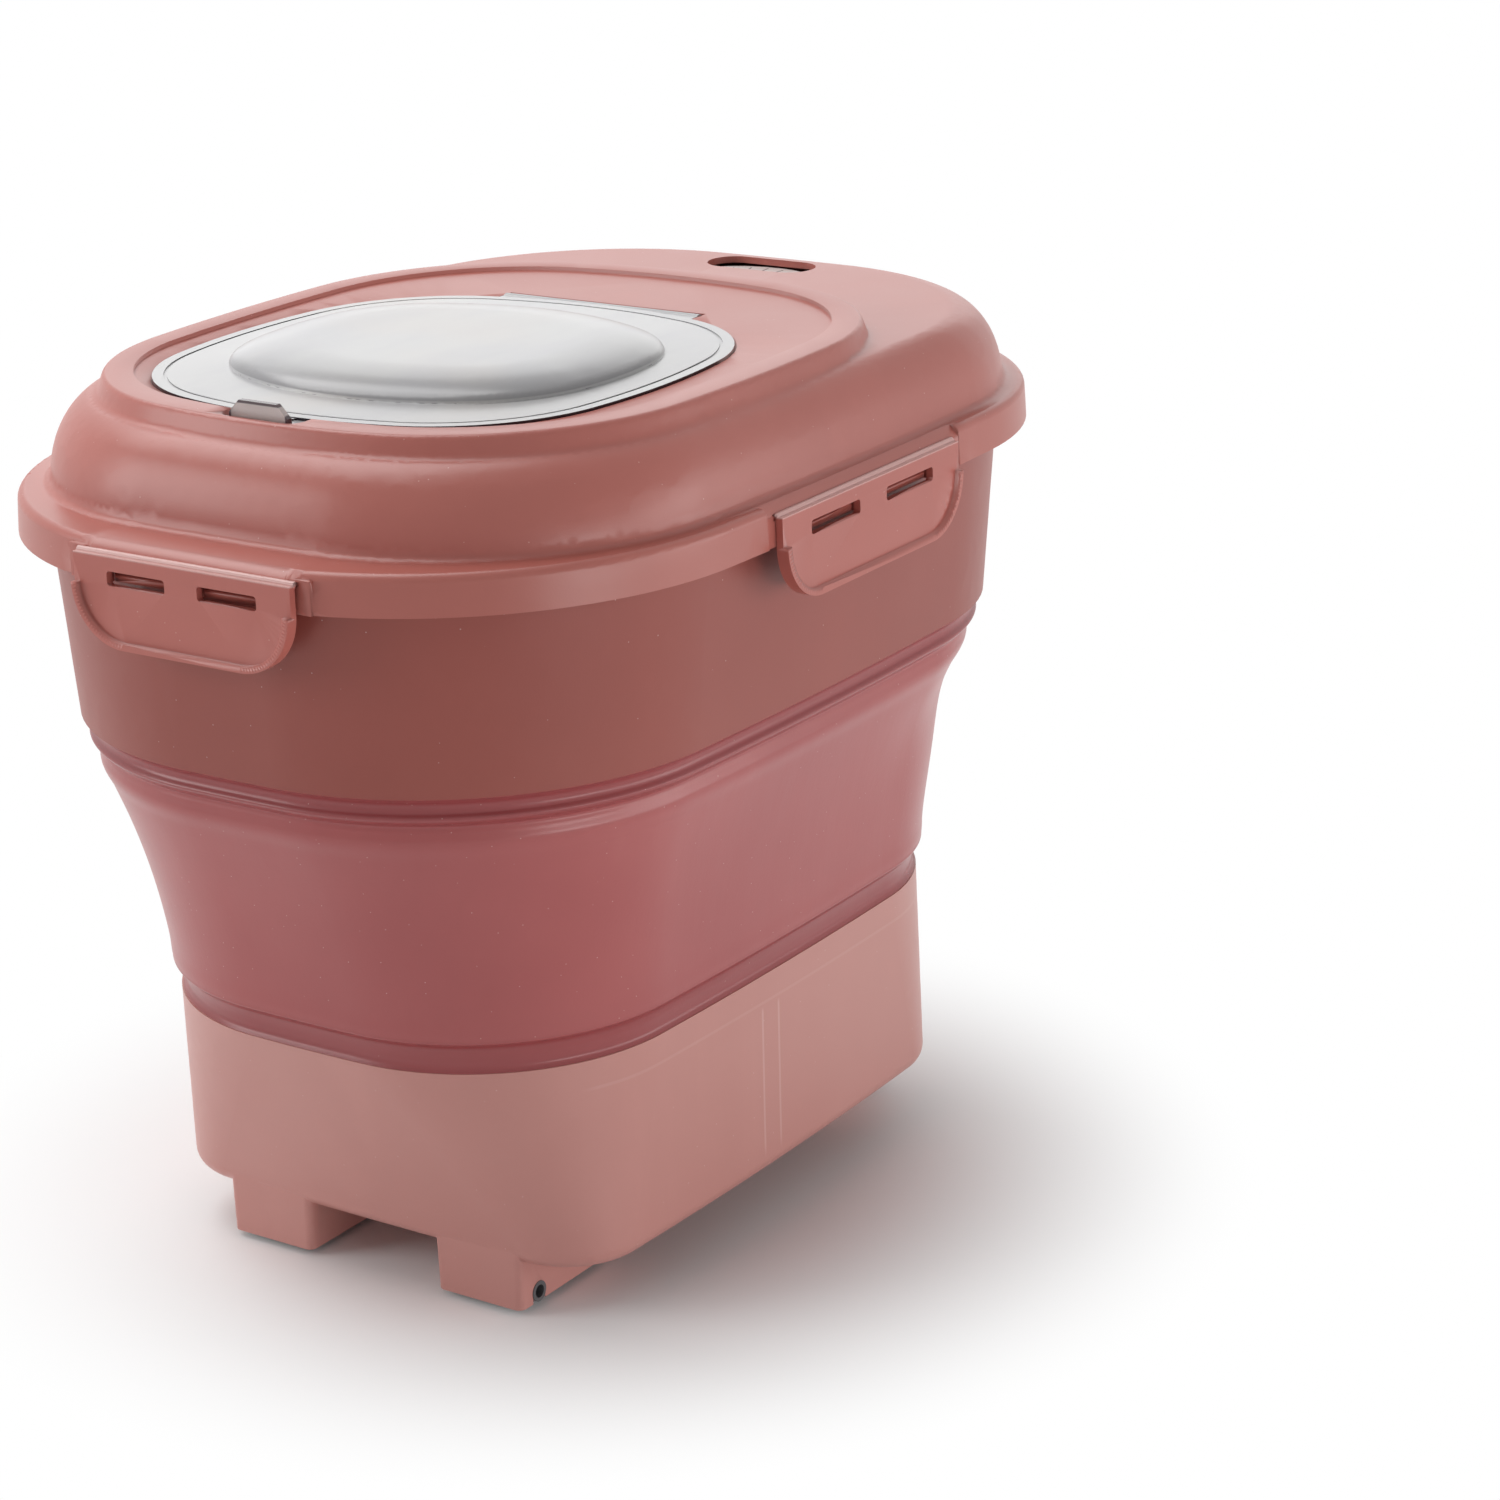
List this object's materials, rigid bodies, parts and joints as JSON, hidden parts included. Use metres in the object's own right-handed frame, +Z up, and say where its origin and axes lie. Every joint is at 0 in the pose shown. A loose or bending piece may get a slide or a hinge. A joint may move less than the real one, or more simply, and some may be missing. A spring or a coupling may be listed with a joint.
{
  "type": "pet food storage bin",
  "caption": "Collapsible storage bin for dry pet food on rollers, with a folding sleeve, a latched domed lid, a clear pour flap and a date dial.",
  "frame": {"origin": "on the floor below the middle of the bin", "axes": "+Z up, -Y towards the front with the pull tab, +X to the right of someone who faces the front"},
  "size_m": [0.2856, 0.3976, 0.3295],
  "materials": {
    "tub_plastic": "satin dusty pink",
    "sleeve_rubber": "satin soft elastomer, dusty red",
    "ring_plastic": "satin dusty pink",
    "lid_plastic": "satin dusty pink",
    "seal_rubber": "soft off-white silicone",
    "magnet_steel": "nickel plated",
    "clear_plastic": "clear gloss plastic",
    "pin_steel": "plain steel",
    "dial_plastic": "satin off-white",
    "wheel_plastic": "satin black",
    "axle_plastic": "satin dark grey"
  },
  "bodies": {
    "tub": {"lower_tub": "tub_plastic", "folding_sleeve": "sleeve_rubber", "axle_front_left": "axle_plastic", "axle_front_right": "axle_plastic", "axle_rear_left": "axle_plastic", "axle_rear_right": "axle_plastic"},
    "ring": {"upper_ring": "ring_plastic"},
    "lid": {"lid": "lid_plastic", "lid_gasket": "seal_rubber", "lid_magnet": "magnet_steel", "flap_hinge_pin": "pin_steel", "dial_screw": "pin_steel"},
    "flap": {"flap": "clear_plastic", "flap_seal": "seal_rubber", "flap_magnet": "magnet_steel"},
    "clasp_front": {"clasp_front": "lid_plastic"},
    "clasp_right": {"clasp_right": "lid_plastic"},
    "clasp_rear": {"clasp_rear": "lid_plastic"},
    "clasp_left": {"clasp_left": "lid_plastic"},
    "dial": {"date_dial": "dial_plastic"},
    "wheel_front_left": {"wheel_front_left": "wheel_plastic"},
    "wheel_front_right": {"wheel_front_right": "wheel_plastic"},
    "wheel_rear_left": {"wheel_rear_left": "wheel_plastic"},
    "wheel_rear_right": {"wheel_rear_right": "wheel_plastic"}
  },
  "joints": [
    {"name": "collapse", "type": "slide", "parent": "tub", "child": "ring", "axis": [0, 0, 1], "range_m": [-0.16, 0], "deforming": ["folding_sleeve"]},
    {"name": "lid_lift", "type": "slide", "parent": "ring", "child": "lid", "axis": [0, 0, 1], "range_m": [0, 0.12]},
    {"name": "flap_hinge", "type": "hinge", "parent": "lid", "child": "flap", "pos_m": [0, 0.042, 0.3195], "axis": [-1, 0, 0], "range_deg": [0, 105]},
    {"name": "clasp_front_hinge", "type": "hinge", "parent": "lid", "child": "clasp_front", "pos_m": [0, -0.1939, 0.283], "axis": [-1, 0, 0], "range_deg": [0, 115]},
    {"name": "clasp_right_hinge", "type": "hinge", "parent": "lid", "child": "clasp_right", "pos_m": [0.1379, 0, 0.283], "axis": [0, -1, 0], "range_deg": [0, 115]},
    {"name": "clasp_rear_hinge", "type": "hinge", "parent": "lid", "child": "clasp_rear", "pos_m": [0, 0.1939, 0.283], "axis": [1, 0, 0], "range_deg": [0, 115]},
    {"name": "clasp_left_hinge", "type": "hinge", "parent": "lid", "child": "clasp_left", "pos_m": [-0.1379, 0, 0.283], "axis": [0, 1, 0], "range_deg": [0, 115]},
    {"name": "dial_turn", "type": "hinge", "parent": "lid", "child": "dial", "pos_m": [0, 0.1215, 0.3117], "axis": [0, 0, 1], "continuous": true},
    {"name": "wheel_front_left_spin", "type": "hinge", "parent": "tub", "child": "wheel_front_left", "pos_m": [-0.047, -0.1099, 0.0063], "axis": [1, 0, 0], "continuous": true},
    {"name": "wheel_front_right_spin", "type": "hinge", "parent": "tub", "child": "wheel_front_right", "pos_m": [0.047, -0.1099, 0.0063], "axis": [1, 0, 0], "continuous": true},
    {"name": "wheel_rear_left_spin", "type": "hinge", "parent": "tub", "child": "wheel_rear_left", "pos_m": [-0.047, 0.1099, 0.0063], "axis": [1, 0, 0], "continuous": true},
    {"name": "wheel_rear_right_spin", "type": "hinge", "parent": "tub", "child": "wheel_rear_right", "pos_m": [0.047, 0.1099, 0.0063], "axis": [1, 0, 0], "continuous": true}
  ]
}
